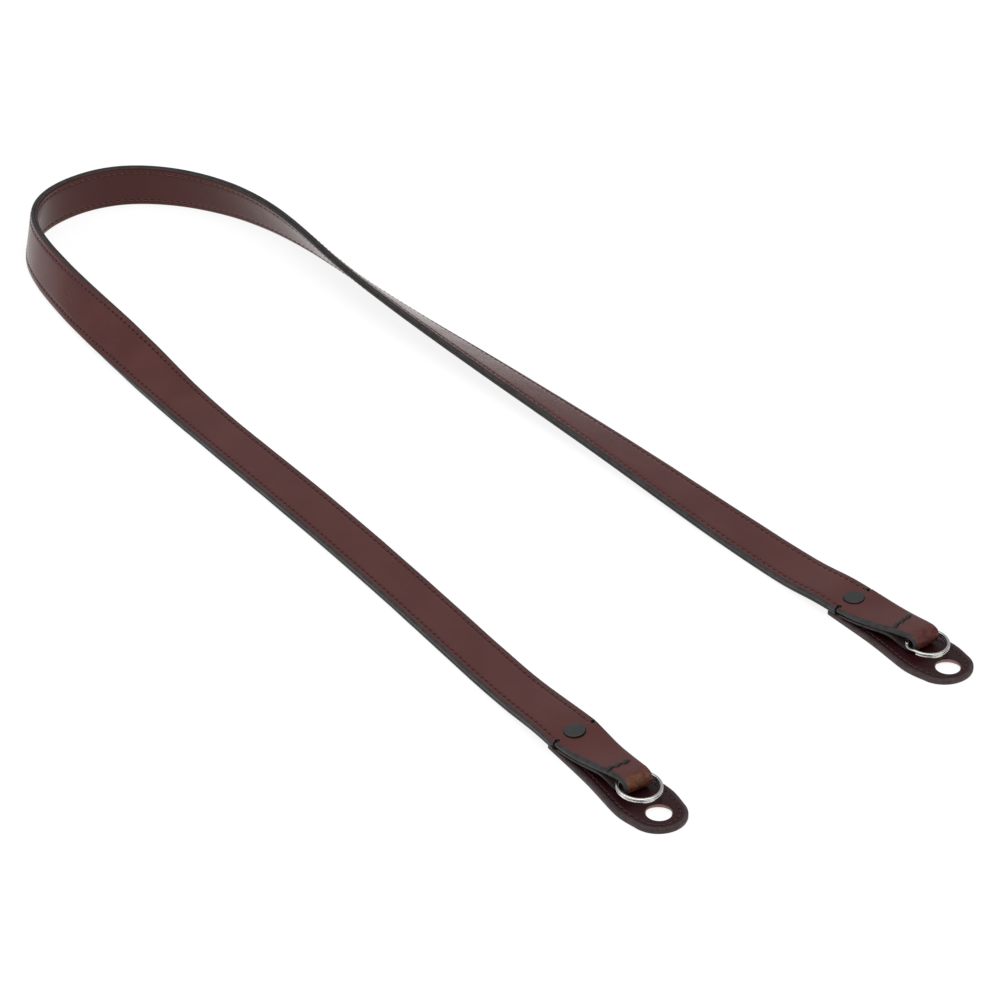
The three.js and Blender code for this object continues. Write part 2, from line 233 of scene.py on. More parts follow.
# Filling of a flap's flat faces: the grid's pitch, how far it keeps from the rim and the hole, the
# share of the hole's radius that stays empty, and what the triangulation keeps and how close it is
FILL_PITCH = 1.6
FILL_OFF_RIM = 0.9
FILL_OFF_HOLE = 0.8
HOLE_SHARE = 0.99
INSIDE_ONLY = 1
FILL_CLOSENESS = 1e-6

# The two ends: the lean of the width at the snap and the headings of tongue and flap in degrees,
# their own sizes as shares of the tables', where the ring's wire ends lie, the two ends of the bar
# tack along and across the tongue, the colour of the stretched leather at the fold, and the painted
# shade in the hollows of its wrinkles
ENDS = {
    "left": {
        "at_start": True,
        "lean": 8,
        "tongue_heading": -1.0,
        "tongue_width": 0.96,
        "flap_heading": -1.9,
        "flap_length": 1.0,
        "flap_width": 1.0,
        "wire_end_at": 160,
        "tack": ((25.8, -6.0), (25.9, 3.4)),
        "fold_colour": (0.150, 0.052, 0.022),
        "fold_crease_shade": (0.075, 0.018, 0.014),
    },
    "right": {
        "at_start": False,
        "lean": 3,
        "tongue_heading": 4.5,
        "tongue_width": 1.0,
        "flap_heading": 2.4,
        "flap_length": 0.975,
        "flap_width": 1.05,
        "wire_end_at": -97,
        "tack": ((24.4, -4.8), (22.5, 5.4)),
        "fold_colour": (0.118, 0.031, 0.026),
        "fold_crease_shade": (0.072, 0.012, 0.014),
    },
}

# Notches beside each snap: a narrow slot to a round hole, cut from below the floor to above the
# strap, and the height above a cap's seat up to which its recess is cut
NOTCH_HOLE_RADIUS = 0.95
NOTCH_SLOT_WIDTH = 0.8
NOTCH_DEPTH = 2.8
NOTCH_CUT = (-2, 12)
RECESS_CUT_TOP = 6

# Split ring: two coils of wire flattened from round, with one short step between them. Steps and
# wire ends are angles in radians.
RING_OUTER_RADIUS = 7.9
WIRE_WIDTH = 1.1
WIRE_THICKNESS = 0.85
WIRE_ROUNDNESS = 0.7
WIRE_END_TAPER = 0.8
COIL_PITCH = 0.97
COIL_STEP = 0.26
COIL_END = 0.34
RING_AT = 36
RING_HEIGHT = 4.95
RING_TILT = 4

# Snap: cap and recess are measured from the middle of the outer ply, square to it, and the foot
# from the floor
CAP_RADIUS = 3.65
CAP_BASE = 0.3
CAP_TOP = 1.35
RECESS_RADIUS = 3.85
RECESS_FLOOR = 0.25
POST_RADIUS = 1.3
FOOT_RADIUS = 2.4
FOOT_BASE = 0.3
FOOT_TOP = 0.65

# The snap's upright stem, then the cap that lies with the leather: radius and height. The cap's
# first rows are its wall.
STEM_ROWS = [
    (FOOT_RADIUS - 0.1, FOOT_BASE),
    (FOOT_RADIUS, FOOT_BASE + 0.1),
    (FOOT_RADIUS, FOOT_TOP),
    (POST_RADIUS, FOOT_TOP),
]
CAP_ROWS = [
    (POST_RADIUS, CAP_BASE),
    (CAP_RADIUS - 0.2, CAP_BASE),
    (CAP_RADIUS - 0.04, CAP_BASE + 0.1),
    (CAP_RADIUS, CAP_BASE + 0.3),
    (CAP_RADIUS, CAP_TOP - 0.16),
    (CAP_RADIUS - 0.06, CAP_TOP - 0.05),
    (CAP_RADIUS - 0.18, CAP_TOP - 0.01),
    (CAP_RADIUS - 0.4, CAP_TOP),
    (CAP_RADIUS - 0.8, CAP_TOP - 0.02),
    (CAP_RADIUS - 1.2, CAP_TOP - 0.07),
    (CAP_RADIUS - 1.8, CAP_TOP - 0.11),
    (1.0, CAP_TOP - 0.13),
]
CAP_WALL_ROWS = 4

# Fineness: steps from one row of a table to the next, stations, and sides of what is round
BAND_STEPS = 14
TONGUE_STEPS = 14
FLAP_STEPS = 10
FLAP_SIDE_POINTS = 60
FLAP_TIP_POINTS = 49
FLAP_CORNER_POINTS = 7
FLAP_HOLE_SIDES = 56
NOTCH_POINTS = 22
RECESS_SIDES = 48
THREAD_SIDES = 8
TACK_POINTS = 30
RING_STATIONS = 300
WIRE_SIDES = 16
SNAP_SIDES = 64
WELD_DISTANCE = 0.01

# A ply's and a flap's material slots, and a snap's
FACE, BACK, CUT = 0, 1, 2
CAP_SLOT, WALL_SLOT = 0, 1

# Colours and finish
GRAIN_BASE = (0.108, 0.036, 0.033)
GRAIN_DARK = (0.091, 0.028, 0.026)
LINING_BASE = (0.066, 0.010, 0.008)
LINING_DARK = (0.056, 0.008, 0.006)
FLAP_BASE = (0.034, 0.007, 0.009)
FLAP_DARK = (0.022, 0.005, 0.006)
BAND_PAINT = (0.046, 0.043, 0.044)
FLAP_RIM_PAINT = (0.068, 0.045, 0.046)
# Painted shade in the stitch holes
HOLE_SHADE = (0.006, 0.002, 0.003)
SHEEN = 0.26
GLOSS_UNEVEN = 0.05
STRETCH_ROUGHNESS = 0.06
PAINT_ROUGHNESS = 0.25
WORN_PAINT = 0.6
SMUDGED_METAL = 0.86

# Border of the paint: how ragged it is, and how soft as a share of the paint's width
PAINT_RAGGED = 0.4
PAINT_SOFT = 0.45

# A stitch hole's painted shade: the radius that is fully dark, and where the shade ends
HOLE_DARK = 0.25
HOLE_END = 0.72

# Where most of a noise texture's values lie
NOISE_RANGE = (0.3, 0.7)

# The stage in metres and watts: softboxes have a name, a place, a side and a power
FLOOR_HALF = 6
FLOOR_GREY = 0.2
FLOOR_GLOW = 0.86
SKY_STRENGTH = 0.38
SOFTBOXES = (
    ("softbox_top", (0.2, -0.1, 1.6), 1.6, 13),
    ("softbox_left", (-0.6, -1.5, 1.2), 1.0, 6),
    ("softbox_right", (1.4, 0.9, 1.2), 1.0, 4),
)
SOFTBOXES_FACE = (0, 0, 0)

# The photograph's view
CAMERA_AT = (1.0, -0.6839, 0.721)
CAMERA_LOOKS_AT = (0.0481, 0.00765, 0.0)
CAMERA_LENS = 133.2
CAMERA_SENSOR = 36
CAMERA_CLIP = (0.05, 20)


def sampled(rows, columns, steps):
    """A table's columns by name, along one cubic B-spline that passes through its two end rows."""
    table = np.array(rows, float)
    control = np.vstack([2 * table[0] - table[1], table, 2 * table[-1] - table[-2]])
    last = len(table) - 1
    samples = []
    for i in range(last * steps + 1):
        span = min(i // steps, last - 1)
        t = i / steps - span
        middle = -3 * t**3 + 3 * t**2 + 3 * t + 1
        weights = np.array([(1 - t) ** 3, 3 * t**3 - 6 * t**2 + 4, middle, t**3])
        samples.append(weights / 6 @ control[span : span + 4])
    return dict(zip(columns, np.array(samples).T))


def unit(vectors):
    """Vectors brought to length 1."""
    return vectors / np.linalg.norm(vectors, axis=1, keepdims=True)


def travel_of(points):
    """Direction of travel at each point of a path."""
    ahead = np.vstack([points[1:], points[-1:]])
    behind = np.vstack([points[:1], points[:-1]])
    return unit(ahead - behind)


def lengths_along(points):
    """Distance travelled to each point of a path."""
    steps = np.linalg.norm(np.diff(points, axis=0), axis=1)
    return np.concatenate([[0], np.cumsum(steps)])


def band_frames():
    """The outer edge of the band, the way across it and the way out of its grain face."""
    lay = sampled(LAY_ROWS, LAY_COLUMNS, BAND_STEPS)
    travel = travel_of(np.column_stack([lay["x"], lay["y"]]))
    lean = np.radians(lay["lean"])[:, None]
    inward = np.column_stack([travel[:, 1], -travel[:, 0], np.zeros(len(travel))])
    across = inward * np.cos(lean) + UP * np.sin(lean)
    out = -inward * np.sin(lean) + UP * np.cos(lean)
    edge = np.column_stack([lay["x"] - LAY_CENTRE[0], lay["y"] - LAY_CENTRE[1], lay["lift"]])
    return edge, across, out


EDGE, ACROSS, OUT = band_frames()


def place_of(end, heading):
    """A frame on the floor under one end's snap: x out along the heading, y across, z up."""
    i = 0 if end["at_start"] else -1
    snap = EDGE[i] + ACROSS[i] * BAND_WIDTH / 2
    turn = Matrix.Rotation(math.radians(heading), 4, "Z")
    return Matrix.Translation((snap[0], snap[1], 0)) @ turn


def moved(points, place):
    """Points in a place's own frame, taken to the strap's."""
    matrix = np.array(place)
    return np.asarray(points, float) @ matrix[:3, :3].T + matrix[:3, 3]


def turned(vectors, place):
    """Directions in a place's own frame, taken to the strap's."""
    return np.asarray(vectors, float) @ np.array(place)[:3, :3].T


def seat_of(end):
    """The middle of the outer ply at one end's snap: z is square to the leather."""
    lean = math.radians(end["lean"])
    height = SNAP_HEIGHT + math.sin(lean) * BAND_WIDTH / 2
    seat = Matrix.Translation((0, 0, height)) @ Matrix.Rotation(lean, 4, "X")
    return place_of(end, end["tongue_heading"]) @ seat


def tongue_sections(end):
    """Sections of one tongue from the snap round the ring and back."""
    place = place_of(end, end["tongue_heading"])
    tongue = sampled(TONGUE_ROWS, TONGUE_COLUMNS, TONGUE_STEPS)
    travel = travel_of(np.column_stack([tongue["along"], tongue["height"]]))
    lean = np.radians(tongue["share"] * end["lean"])
    height = tongue["height"] + np.sin(lean) * BAND_WIDTH / 2
    none = np.zeros(len(travel))
    path = turned(np.column_stack([travel[:, 0], none, travel[:, 1]]), place)
    far = turned(np.column_stack([none, np.cos(lean), np.sin(lean)]), place)
    turn = 1 if end["at_start"] else -1
    return {
        "middle": moved(np.column_stack([tongue["along"], none, height]), place),
        "across": far * turn,
        "out": unit(np.cross(path, far)),
        "half": tongue["half"] * end["tongue_width"],
        "thick": tongue["thick"],
        "margin": np.column_stack([tongue["paint"], tongue["far_paint"]][::turn]),
        "stretch": tongue["stretch"],
        "groove": none,
        "sewn": none,
    }


def band_sections(low, high, paint, between_tongues):
    """Sections of one ply of the band, between two heights above the lining's face."""
    at = slice(1, -1) if between_tongues else slice(None)
    count = len(EDGE[at])
    flat, standing = paint
    margin = flat + (standing - flat) * np.clip(ACROSS[at][:, 2], 0, 1)
    from_end = np.minimum(np.arange(count), np.arange(count)[::-1])
    sewn = np.zeros(len(EDGE))
    sewn[UNSEWN_STATIONS:-UNSEWN_STATIONS] = 1
    return {
        "middle": EDGE[at] + ACROSS[at] * BAND_WIDTH / 2 + OUT[at] * (low + high) / 2,
        "across": ACROSS[at],
        "out": OUT[at],
        "half": np.full(count, BAND_WIDTH / 2),
        "thick": np.full(count, high - low),
        "margin": np.column_stack([margin, margin]),
        "stretch": np.zeros(count),
        "groove": np.clip(from_end / GROOVE_FADE_STATIONS, 0, 1),
        "sewn": sewn[at],
    }


def joined(*runs):
    """Several runs of sections, one after the other."""
    return {key: np.concatenate([run[key] for run in runs]) for key in runs[0]}


def ply_back(half, thick):
    """The back of a ply from edge to edge. Its insets are below nought, as paint covers its sides."""
    low = -thick / 2
    round_at, bevel_at = BACK_ROUND, BACK_BEVEL * BACK_ROUND
    return [
        (-half, low + round_at, -SIDE_SHARE * thick),
        (-half + bevel_at, low + bevel_at, -thick),
        (-half + round_at, low, -thick),
        (0, low, -thick),
        (half - round_at, low, -thick),
        (half - bevel_at, low + bevel_at, -thick),
        (half, low + round_at, -SIDE_SHARE * thick),
    ]


def ply_loop(half, thick, groove):
    """One closed loop: the face from edge to edge, then the back. Across, out and inset."""
    high = thick / 2
    crown = high + FACE_CROWN
    right = []
    for inset, drop, share in FACE_ROWS:
        right.append((half - inset, high - drop - GROOVE_DEPTH * share * groove, inset))
    inner = right[-1][0] / 2
    right.append((inner, crown, half - inner))
    left = [(-across, out, inset) for across, out, inset in reversed(right)]
    return np.array(right + [(0, crown, half)] + left + ply_back(half, thick))


BACK_CORNERS = len(ply_back(BAND_WIDTH / 2, OUTER_PLY))


def circle(radius, count):
    """Points of a circle about the middle."""
    angles = np.arange(count) * 2 * math.pi / count
    return [(radius * math.cos(a), radius * math.sin(a)) for a in angles]


def tube_faces(stations, sides, start=0):
    """Faces of a tube of loops, each with the same number of sides, and of its two ends."""
    faces = []
    for j in range(stations - 1):
        for k in range(sides):
            a = start + j * sides + k
            b = start + j * sides + (k + 1) % sides
            faces.append((a, a + sides, b + sides, b))
    last = start + (stations - 1) * sides
    faces.append(tuple(start + k for k in range(sides)))
    faces.append(tuple(last + k for k in reversed(range(sides))))
    return faces


def new_object(name, points, faces, slots, indices=None):
    """A mesh object from points in millimetres, with its materials."""
    mesh = bpy.data.meshes.new(name)
    mesh.from_pydata((np.asarray(points) * MM).tolist(), [], [list(face) for face in faces])
    for material in slots:
        mesh.materials.append(material)
    if indices is not None:
        mesh.polygons.foreach_set("material_index", np.asarray(indices, np.int32))
    mesh.validate()
    mesh.update()
    thing = bpy.data.objects.new(name, mesh)
    bpy.context.scene.collection.objects.link(thing)
    return thing


def shade(thing, angle=40):
    """Smooth shading, apart from edges sharper than an angle."""
    thing.data.shade_smooth()
    thing.data.set_sharp_from_angle(angle=math.radians(angle))


def weld(thing, distance):
    """Joins corners that meet and turns every face outward."""
    edit = bmesh.new()
    edit.from_mesh(thing.data)
    bmesh.ops.remove_doubles(edit, verts=edit.verts, dist=distance * MM)
    bmesh.ops.recalc_face_normals(edit, faces=edit.faces)
    edit.to_mesh(thing.data)
    edit.free()


def join(name, things):
    """One object from several that share their material slots."""
    bpy.ops.object.select_all(action="DESELECT")
    for thing in things:
        thing.select_set(True)
    bpy.context.view_layer.objects.active = things[0]
    bpy.ops.object.join()
    things[0].name = name
    things[0].data.name = name
    return things[0]


def store_uv(mesh, name, values):
    """A UV map from two numbers for each vertex."""
    layer = mesh.uv_layers.new(name=name)
    corners = np.zeros(len(mesh.loops), np.int32)
    mesh.loops.foreach_get("vertex_index", corners)
    layer.uv.foreach_set("vector", np.asarray(values, np.float32)[corners].ravel())


def sewn_lengths(run, side):
    """Distance sewn at each section along one row of stitches, or below nought where none is."""
    row = run["middle"] + run["across"] * side * (BAND_WIDTH / 2 - STITCH_INSET)
    along = lengths_along(row)
    sewn = run["sewn"] > 0
    return np.where(sewn, along - along[np.argmax(sewn)], -1.0)


def ply_object(name, run, face_down, slots):
    """A strip of leather swept through a run of sections, its face up or down."""
    flip = -1 if face_down else 1
    sewn = [sewn_lengths(run, side * flip) for side in (-1, 0, 1)]
    shift = Vector((0, 0, WANDER_SHIFT * flip))
    points, place, finish = [], [], []
    for i, middle in enumerate(run["middle"]):
        wander = WANDER * noise.noise(Vector(middle / WANDER_LENGTH) + shift)
        loop = ply_loop(run["half"][i] + wander, run["thick"][i], run["groove"][i])
        across = run["across"][i] * flip
        out = run["out"][i] * flip
        points.append(middle + loop[:, :1] * across + loop[:, 1:2] * out)
        along = [sewn[1 + int(np.sign(corner[0]))][i] for corner in loop]
        place.append(np.column_stack([along, loop[:, 2]]))
        margin = np.where(loop[:, 0] * flip > 0, run["margin"][i][1], run["margin"][i][0])
        finish.append(np.column_stack([margin, np.full(len(loop), run["stretch"][i])]))
    stations, corners = len(points), len(points[0])
    points, place, finish = (np.concatenate(part) for part in (points, place, finish))
    outward = np.repeat(run["out"] * flip, corners, axis=0)
    wrinkle = np.array([noise.noise(Vector(point / WRINKLE_LENGTH)) for point in points])
    points = points + outward * (WRINKLE_DEPTH * wrinkle * finish[:, 1])[:, None]
    first_back = corners - BACK_CORNERS
    around = [BACK if first_back <= k < corners - 1 else FACE for k in range(corners)]
    indices = around * (stations - 1) + [BACK, BACK]
    thing = new_object(name, points, tube_faces(stations, corners), slots, indices)
    store_uv(thing.data, "place", place)
    store_uv(thing.data, "finish", finish)
    return thing


def prism(outline, low, high):
    """Points and faces of an upright prism on a plane outline."""
    count = len(outline)
    points = [(x, y, low) for x, y in outline] + [(x, y, high) for x, y in outline]
    faces = [tuple(reversed(range(count))), tuple(range(count, 2 * count))]
    faces += [(k, (k + 1) % count, count + (k + 1) % count, count + k) for k in range(count)]
    return points, faces


def keyhole(side):
    """Outline of a notch: a round hole with a slot that opens at the edge on one side."""
    half = NOTCH_SLOT_WIDTH / 2
    centre = BAND_WIDTH / 2 - NOTCH_DEPTH + NOTCH_HOLE_RADIUS
    first = math.asin(half / NOTCH_HOLE_RADIUS)
    arc = np.linspace(first, 2 * math.pi - first, NOTCH_POINTS)
    hole = [(NOTCH_HOLE_RADIUS * math.sin(a), centre + NOTCH_HOLE_RADIUS * math.cos(a)) for a in arc]
    outline = [(half, BAND_WIDTH)] + hole + [(-half, BAND_WIDTH)]
    return outline[::-1] if side > 0 else [(x, -y) for x, y in outline]


def cutter_shapes(recess):
    """Each end's notches, and its cap's recess where that is wanted, with their places."""
    for end in ENDS.values():
        for side in (1, -1):
            yield place_of(end, end["tongue_heading"]), prism(keyhole(side), *NOTCH_CUT)
        if recess:
            outline = circle(RECESS_RADIUS, RECESS_SIDES)
            yield seat_of(end), prism(outline, RECESS_FLOOR, RECESS_CUT_TOP)


def cut(thing, recess):
    """Takes the notches, and on the outer ply the caps' recesses, out of a ply."""
    points, faces = [], []
    for place, (shape_points, shape_faces) in cutter_shapes(recess):
        start = len(points)
        points += moved(shape_points, place).tolist()
        faces += [tuple(start + k for k in face) for face in shape_faces]
    # The cut walls are near black: the notches' edge paint deepened by painted shade, and painted
    # shade in the caps' recesses
    cutter = new_object("cutter", points, faces, [cut_paint_and_shade] * 3, [CUT] * len(faces))
    for name in ("place", "finish"):
        store_uv(cutter.data, name, np.zeros((len(points), 2)))
    modifier = thing.modifiers.new("cut", "BOOLEAN")
    modifier.operation = "DIFFERENCE"
    modifier.solver = "EXACT"
    modifier.object = cutter
    depsgraph = bpy.context.evaluated_depsgraph_get()
    result = bpy.data.meshes.new_from_object(thing.evaluated_get(depsgraph))
    thing.modifiers.clear()
    thing.data = result
    bpy.data.objects.remove(cutter)


def stitches(
    name, path, normals, pitch, radius, material, seed,
    rise=STITCH_RISE, reach_share=STITCH_REACH, slant=0.0,
):
    """A row of short threads along a path, each dipping into the leather at its ends."""
    random = np.random.default_rng(seed)
    along = lengths_along(path)
    travel = travel_of(path)
    section = circle(1, THREAD_SIDES)
    points, faces = [], []

    def at(distance, table):
        return np.array([np.interp(distance, along, table[:, axis]) for axis in range(3)])

    for i in range(int(along[-1] / pitch)):
        reach = pitch * (reach_share + REACH_UNEVEN * random.standard_normal())
        lift = rise * (1 + RISE_UNEVEN * random.standard_normal())
        sway = slant + SLANT_UNEVEN * random.standard_normal()
        faces += tube_faces(len(STITCH_ROWS), THREAD_SIDES, len(points))
        for station, height, size in STITCH_ROWS:
            distance = (i + 0.5) * pitch + station * reach
            out = at(distance, normals)
            out /= np.linalg.norm(out)
            side = np.cross(out, at(distance, travel))
            side /= np.linalg.norm(side)
            place = at(distance, path) + out * (lift * height) + side * (sway * station * reach)
            for x, y in section:
                points.append(place + (side * x + out * THREAD_FLATNESS * y) * radius * size)
    thing = new_object(name, points, faces, [material])
    shade(thing, 60)
    return thing


def nodes_of(name):
    """A new material, its node tree and its shader."""
    material = bpy.data.materials.new(name)
    material.use_nodes = True
    tree = material.node_tree
    return material, tree, tree.nodes["Principled BSDF"]


def add(tree, kind, inputs=None, **settings):
    """A shader node with its settings, and its inputs set or linked."""
    node = tree.nodes.new(kind)
    for key, value in settings.items():
        setattr(node, key, value)
    for key, value in (inputs or {}).items():
        if isinstance(value, bpy.types.NodeSocket):
            tree.links.new(value, node.inputs[key])
        else:
            node.inputs[key].default_value = value
    return node


def connect(tree, shader, colour, rough, normal):
    """Links a material's colour, roughness and normal to its shader."""
    for name, value in (("Base Color", colour), ("Roughness", rough), ("Normal", normal)):
        tree.links.new(value, shader.inputs[name])


def coordinates(tree):
    """A point's place on the object, in metres."""
    return add(tree, "ShaderNodeTexCoord").outputs["Object"]


def uv_pair(tree, name):
    """The two numbers of a UV map."""
    both = add(tree, "ShaderNodeUVMap", uv_map=name).outputs[0]
    parts = add(tree, "ShaderNodeSeparateXYZ", {0: both})
    return parts.outputs["X"], parts.outputs["Y"]


def texture(tree, scale, detail=4, roughness=0.55, distortion=0.0):
    """Noise over the object."""
    inputs = {
        "Vector": coordinates(tree),
        "Scale": scale,
        "Detail": detail,
        "Roughness": roughness,
        "Distortion": distortion,
    }
    return add(tree, "ShaderNodeTexNoise", inputs).outputs["Fac"]


def spread(tree, value, low, high, to_low=0.0, to_high=1.0):
    """A value taken smoothly from one range to another."""
    inputs = {"Value": value, "From Min": low, "From Max": high, "To Min": to_low, "To Max": to_high}
    return add(tree, "ShaderNodeMapRange", inputs, interpolation_type="SMOOTHSTEP").outputs["Result"]


def pore_texture(tree, scale):
    """Small cells: dark in the creases between them, light within."""
    inputs = {"Vector": coordinates(tree), "Scale": scale, "Randomness": 1.0}
    cells = add(tree, "ShaderNodeTexVoronoi", inputs, feature="DISTANCE_TO_EDGE")
    return spread(tree, cells.outputs["Distance"], 0.0, 0.16)


def maths(tree, operation, first, second=0.0):
    """The result of one sum."""
    return add(tree, "ShaderNodeMath", {0: first, 1: second}, operation=operation).outputs[0]


def mixed(tree, share, first, second):
    """A colour between two, by the share of the second."""
    node = add(tree, "ShaderNodeMix", {"Factor": share}, data_type="RGBA")
    for socket, value in ((node.inputs[6], first), (node.inputs[7], second)):
        if isinstance(value, bpy.types.NodeSocket):
            tree.links.new(value, socket)
        else:
            socket.default_value = (*value, 1)
    return node.outputs[2]


def bump(tree, strength, distance, height, under=None):
    """A normal raised by a height, over another normal where one is given. Distance in metres."""
    inputs = {"Strength": strength, "Distance": distance, "Height": height}
    if under is not None:
        inputs["Normal"] = under
    return add(tree, "ShaderNodeBump", inputs).outputs["Normal"]


def darker(colour, share):
    """A colour with each channel at a share of its own."""
    return tuple(share * channel for channel in colour)


def fold_colour(tree, streak):
    """Colour of the stretched leather, with painted shade in the hollows of its wrinkles: the two ends
    differ, and lie on the two sides of y = 0.
    """
    across = add(tree, "ShaderNodeSeparateXYZ", {0: coordinates(tree)}).outputs["Y"]
    on_right = maths(tree, "GREATER_THAN", across, 0.0)
    left, right = ENDS["left"], ENDS["right"]
    dark = mixed(tree, on_right, left["fold_crease_shade"], right["fold_crease_shade"])
    light = mixed(tree, on_right, left["fold_colour"], right["fold_colour"])
    # Dark where the streak runs low, in the hollows of the wrinkles: painted shade
    return mixed(tree, spread(tree, streak, 0.36, 0.58), dark, light)


def stitch_hole(tree, along, inset, pitch, row_inset):
    """How far a point lies within one of the holes between the stitches of a row, whose darkness is
    painted shade.
    """
    phase = maths(tree, "FRACT", maths(tree, "DIVIDE", along, pitch))
    nearest = maths(tree, "MINIMUM", phase, maths(tree, "SUBTRACT", 1.0, phase))
    from_hole = maths(tree, "MULTIPLY", nearest, pitch)
    from_row = maths(tree, "SUBTRACT", inset, row_inset)
    along_square = maths(tree, "POWER", from_hole, 2.0)
    across_square = maths(tree, "MULTIPLY", from_row, from_row)
    away = maths(tree, "SQRT", maths(tree, "ADD", along_square, across_square))
    hole = spread(tree, away, HOLE_DARK, HOLE_END, 1, 0)
    return maths(tree, "MULTIPLY", hole, maths(tree, "GREATER_THAN", along, 0.0))


def painted_edge(tree, inset, margin):
    """How far the edge's paint covers a point."""
    uneven = maths(tree, "SUBTRACT", texture(tree, 700, 3), 0.5)
    ragged = maths(tree, "MULTIPLY", uneven, PAINT_RAGGED)
    reach = maths(tree, "SUBTRACT", maths(tree, "ADD", inset, ragged), margin)
    soft_from = maths(tree, "MULTIPLY", margin, -PAINT_SOFT)
    soft_to = maths(tree, "MULTIPLY", margin, PAINT_SOFT)
    return spread(tree, reach, soft_from, soft_to, 1, 0)


def leather(name, base, dark, gloss, pore_scale, paint, stitch_pitch, stitch_inset):
    """Finished leather with painted edges. UV map place holds the distance along and in from the
    edge, UV map finish the width of the paint and how far the leather is stretched."""
    material, tree, shader = nodes_of(name)
    along, inset = uv_pair(tree, "place")
    margin, stretch = uv_pair(tree, "finish")
    mottle = texture(tree, 55, 5)
    cloud = texture(tree, 9, 3)
    grain = texture(tree, 900, 6, 0.6)
    pores = pore_texture(tree, pore_scale)
    streak = texture(tree, 260, 4, 0.7, 1.5)
    hole = stitch_hole(tree, along, inset, stitch_pitch, stitch_inset)
    painted = painted_edge(tree, inset, margin)
    worn = spread(tree, texture(tree, 420, 4), 0.35, 0.7)

    colour = mixed(tree, spread(tree, mottle, *NOISE_RANGE), dark, base)
    colour = mixed(tree, spread(tree, cloud, 0.35, 0.7, 0, 0.35), colour, dark)
    colour = mixed(tree, spread(tree, stretch, 0.1, 0.75), colour, fold_colour(tree, streak))
    # Painted shade in the stitch holes: near black
    colour = mixed(tree, hole, colour, HOLE_SHADE)
    paint_colour = mixed(tree, worn, paint, darker(paint, WORN_PAINT))
    colour = mixed(tree, painted, colour, paint_colour)

    rough = spread(tree, mottle, *NOISE_RANGE, gloss + GLOSS_UNEVEN, gloss - GLOSS_UNEVEN)
    rough = maths(tree, "ADD", rough, maths(tree, "MULTIPLY", stretch, STRETCH_ROUGHNESS))
    rough = maths(tree, "ADD", rough, maths(tree, "MULTIPLY", painted, PAINT_ROUGHNESS))

    normal = bump(tree, 0.04, 0.0004, grain)
    normal = bump(tree, 0.10, 0.0002, pores, normal)
    normal = bump(tree, 0.5, 0.0012, maths(tree, "MULTIPLY", streak, stretch), normal)
    normal = bump(tree, 0.15, 0.0016, mottle, normal)
    normal = bump(tree, 0.6, 0.0004, maths(tree, "SUBTRACT", 1.0, hole), normal)

    connect(tree, shader, colour, rough, normal)
    shader.inputs["Specular IOR Level"].default_value = SHEEN
    return material


def flesh(name, base, dark):
    """The rough back of leather."""
    material, tree, shader = nodes_of(name)
    fibre = texture(tree, 1400, 6, 0.7)
    colour = mixed(tree, spread(tree, texture(tree, 160, 5), *NOISE_RANGE), dark, base)
    rough = spread(tree, fibre, *NOISE_RANGE, 0.75, 0.95)
    connect(tree, shader, colour, rough, bump(tree, 0.5, 0.0004, fibre))
    return material


def edge_paint_and_shade(name, base):
    """A satin finish, slightly uneven: paint on a cut edge, and near-black painted shade where its
    colour is that dark.
    """
    material, tree, shader = nodes_of(name)
    uneven = texture(tree, 600, 4)
    colour = mixed(tree, spread(tree, uneven, *NOISE_RANGE), base, darker(base, WORN_PAINT))
    rough = spread(tree, uneven, *NOISE_RANGE, 0.42, 0.58)
    connect(tree, shader, colour, rough, bump(tree, 0.3, 0.0004, uneven))
    return material


def thread(name, base, dark, roughness):
    """Waxed sewing thread."""
    material, tree, shader = nodes_of(name)
    fibre = texture(tree, 2600, 3)
    colour = mixed(tree, spread(tree, fibre, 0.35, 0.65), dark, base)
    rough = spread(tree, fibre, *NOISE_RANGE, roughness - 0.08, roughness + 0.08)
    connect(tree, shader, colour, rough, bump(tree, 0.6, 0.0003, fibre))
    return material


def metal(name, base, roughness, metallic, scratch):
    """Metal with fine scratches and slight smudges."""
    material, tree, shader = nodes_of(name)
    smudge = texture(tree, 320, 4)
    lines = texture(tree, 3200, 2, 0.5, 2.0)
    colour = mixed(tree, spread(tree, smudge, *NOISE_RANGE), base, darker(base, SMUDGED_METAL))
    rough = spread(tree, smudge, *NOISE_RANGE, roughness - 0.04, roughness + 0.06)
    connect(tree, shader, colour, rough, bump(tree, scratch, 0.0002, lines))
    shader.inputs["Metallic"].default_value = metallic
    return material


band_row = (BAND_PAINT, STITCH_PITCH, STITCH_INSET)
flap_row = (FLAP_RIM_PAINT, FLAP_STITCH_PITCH, FLAP_STITCH_INSET)
grain_face = leather("grain_leather", GRAIN_BASE, GRAIN_DARK, 0.24, 1500, *band_row)
lining_face = leather("lining_leather", LINING_BASE, LINING_DARK, 0.22, 1300, *band_row)
flap_face = leather("flap_leather", FLAP_BASE, FLAP_DARK, 0.3, 1400, *flap_row)
flesh_brown = flesh("flesh_side", (0.040, 0.020, 0.016), (0.022, 0.011, 0.009))
# Near black for the cut walls: edge paint deepened by painted shade in the notches, painted shade in
# the caps' recesses
cut_paint_and_shade = edge_paint_and_shade("notch_paint_and_shade", (0.010, 0.010, 0.010))
